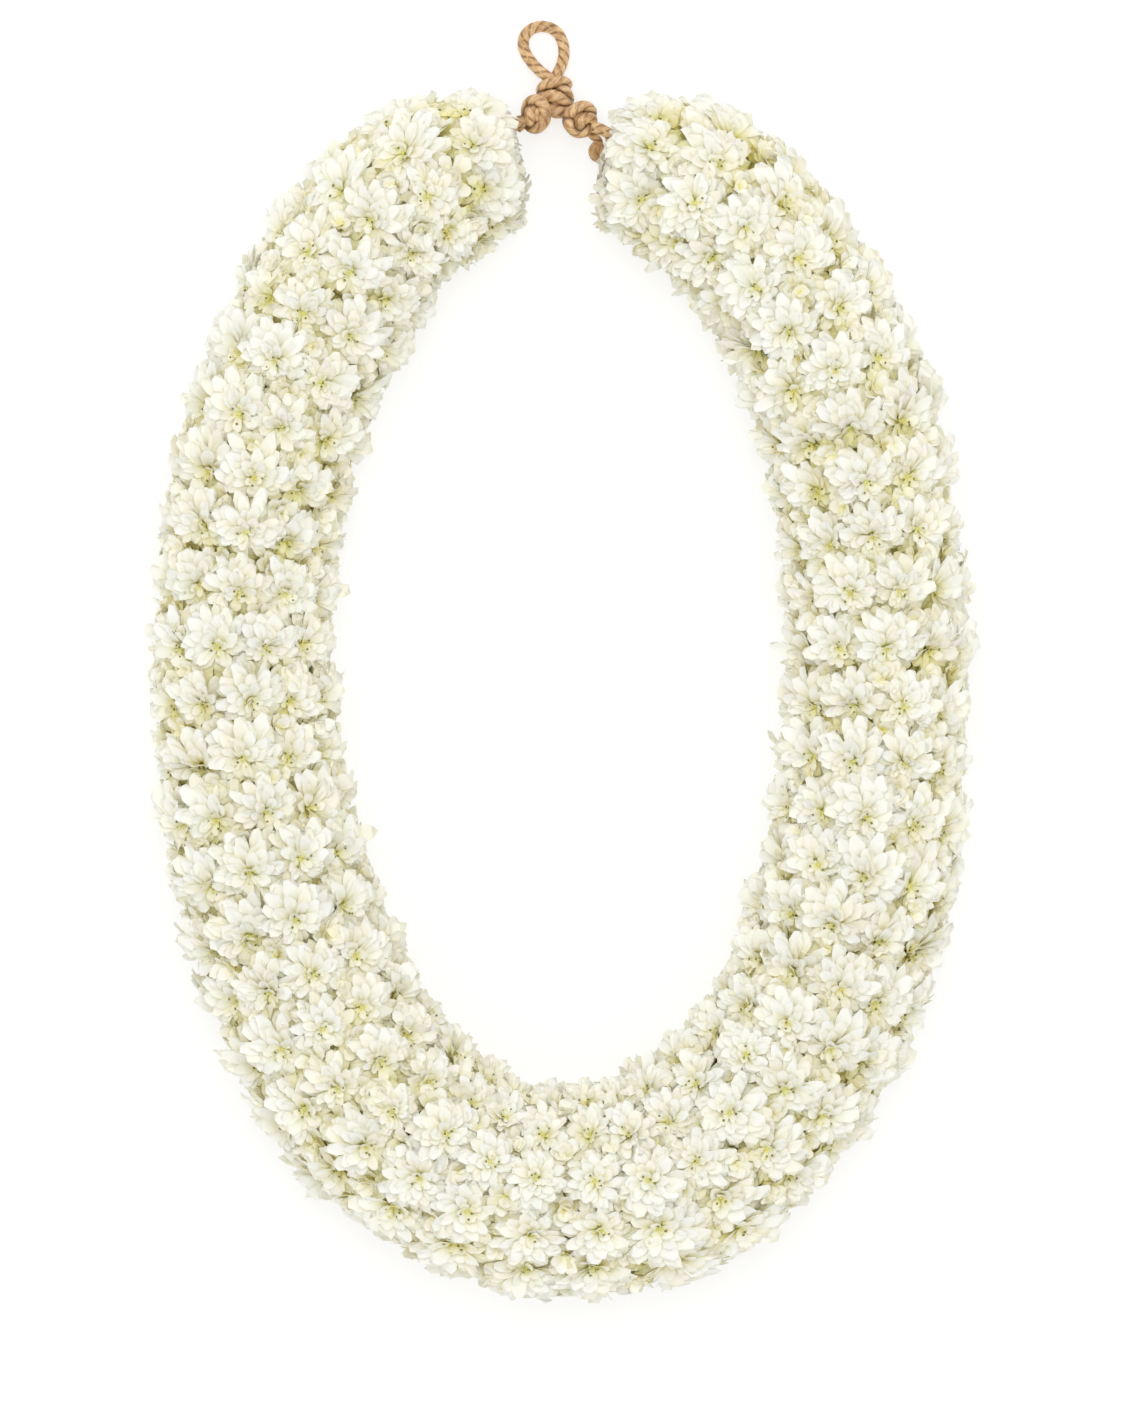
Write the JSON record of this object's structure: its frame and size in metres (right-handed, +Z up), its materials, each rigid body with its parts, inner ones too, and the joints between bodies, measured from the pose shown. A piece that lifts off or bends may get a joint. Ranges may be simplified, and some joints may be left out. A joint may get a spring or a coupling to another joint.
{
  "type": "fresh flower lei",
  "caption": "Open flower garland of full white double blooms set in rings on a waxed cord, whose two ends are knotted together under a small hanging loop.",
  "frame": {"origin": "centre of the flowers' footprint, without the tie, on the surface that the lei lies on", "axes": "+Z up from that surface through the front of the lei, +Y along the lei from the full bottom towards the tie, +X to the viewer's right"},
  "size_m": [0.3399, 0.5243, 0.084],
  "materials": {
    "white_petals": "matte",
    "waxed_cord": "satin"
  },
  "bodies": {
    "root": {"bloom_ring_01": "white_petals", "bloom_ring_02": "white_petals", "bloom_ring_03": "white_petals", "bloom_ring_04": "white_petals", "bloom_ring_05": "white_petals", "bloom_ring_06": "white_petals", "bloom_ring_07": "white_petals", "bloom_ring_08": "white_petals", "bloom_ring_09": "white_petals", "bloom_ring_10": "white_petals", "bloom_ring_11": "white_petals", "bloom_ring_12": "white_petals", "bloom_ring_13": "white_petals", "bloom_ring_14": "white_petals", "bloom_ring_15": "white_petals", "bloom_ring_16": "white_petals", "bloom_ring_17": "white_petals", "bloom_ring_18": "white_petals", "bloom_ring_19": "white_petals", "bloom_ring_20": "white_petals", "bloom_ring_21": "white_petals", "bloom_ring_22": "white_petals", "bloom_ring_23": "white_petals", "bloom_ring_24": "white_petals", "bloom_ring_25": "white_petals", "bloom_ring_26": "white_petals", "bloom_ring_27": "white_petals", "bloom_ring_28": "white_petals", "bloom_ring_29": "white_petals", "bloom_ring_30": "white_petals", "bloom_ring_31": "white_petals", "bloom_ring_32": "white_petals", "bloom_ring_33": "white_petals", "bloom_ring_34": "white_petals", "bloom_ring_35": "white_petals", "bloom_ring_36": "white_petals", "bloom_ring_37": "white_petals", "bloom_ring_38": "white_petals", "bloom_ring_39": "white_petals", "bloom_ring_40": "white_petals", "bloom_ring_41": "white_petals", "bloom_ring_42": "white_petals", "bloom_ring_43": "white_petals", "bloom_ring_44": "white_petals", "bloom_ring_45": "white_petals", "bloom_ring_46": "white_petals", "core_cord": "waxed_cord", "hanging_loop": "waxed_cord", "main_knot": "waxed_cord", "left_knot": "waxed_cord", "right_knot": "waxed_cord", "tail_knot": "waxed_cord", "left_tail": "waxed_cord", "right_tail": "waxed_cord"}
  },
  "joints": []
}
